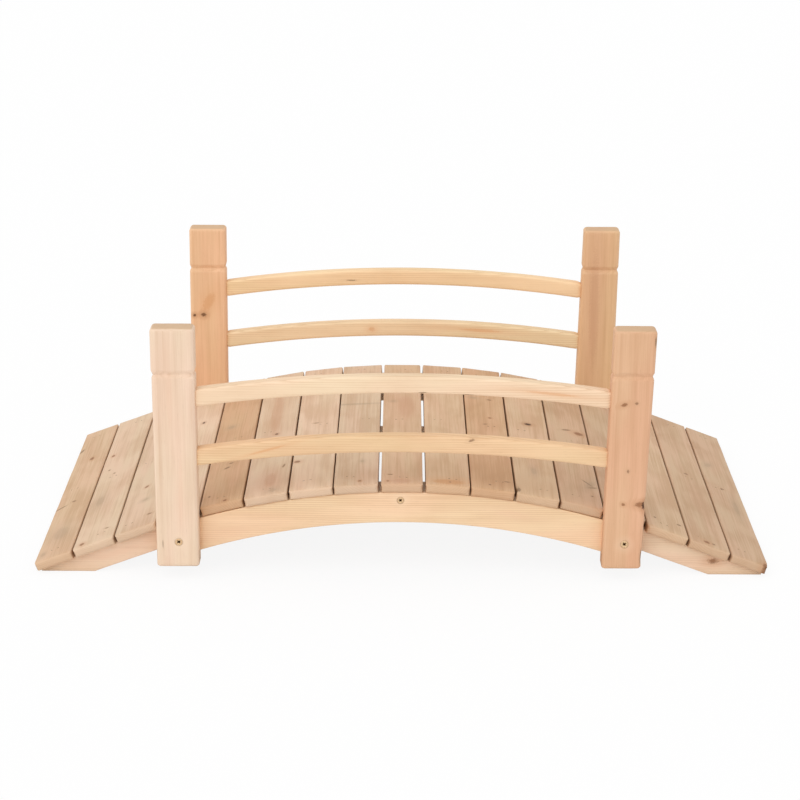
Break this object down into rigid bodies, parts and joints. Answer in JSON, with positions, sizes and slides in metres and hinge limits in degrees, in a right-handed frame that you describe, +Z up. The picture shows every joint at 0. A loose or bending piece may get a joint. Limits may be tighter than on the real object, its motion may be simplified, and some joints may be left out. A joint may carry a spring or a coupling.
{
  "type": "arched garden footbridge",
  "caption": "Low arched wooden garden footbridge: deck boards on arched stringers, with flat posts and arched rails along both sides.",
  "frame": {"origin": "on the ground under the middle of the bridge", "axes": "+Z up, +X along the walkway to the right, -Y towards the near side"},
  "size_m": [0.9968, 0.58, 0.353],
  "materials": {
    "deck_board": "bare planed softwood, greyish beige",
    "stringer": "bare planed softwood",
    "face_board": "bare planed softwood, warm yellow",
    "post": "bare planed softwood, pink beige",
    "rail": "bare planed softwood, pale straw"
  },
  "bodies": {
    "root": {"deck_board_01": "deck_board", "deck_board_02": "deck_board", "deck_board_03": "deck_board", "deck_board_04": "deck_board", "deck_board_05": "deck_board", "deck_board_06": "deck_board", "deck_board_07": "deck_board", "deck_board_08": "deck_board", "deck_board_09": "deck_board", "deck_board_10": "deck_board", "deck_board_11": "deck_board", "deck_board_12": "deck_board", "deck_board_13": "deck_board", "deck_board_14": "deck_board", "deck_board_15": "deck_board", "deck_board_16": "deck_board", "deck_board_17": "deck_board", "middle_stringer": "stringer", "near_stringer": "stringer", "near_face_board": "face_board", "near_top_rail": "rail", "near_low_rail": "rail", "near_left_post": "post", "near_right_post": "post", "far_stringer": "stringer", "far_face_board": "face_board", "far_top_rail": "rail", "far_low_rail": "rail", "far_left_post": "post", "far_right_post": "post"}
  },
  "joints": []
}
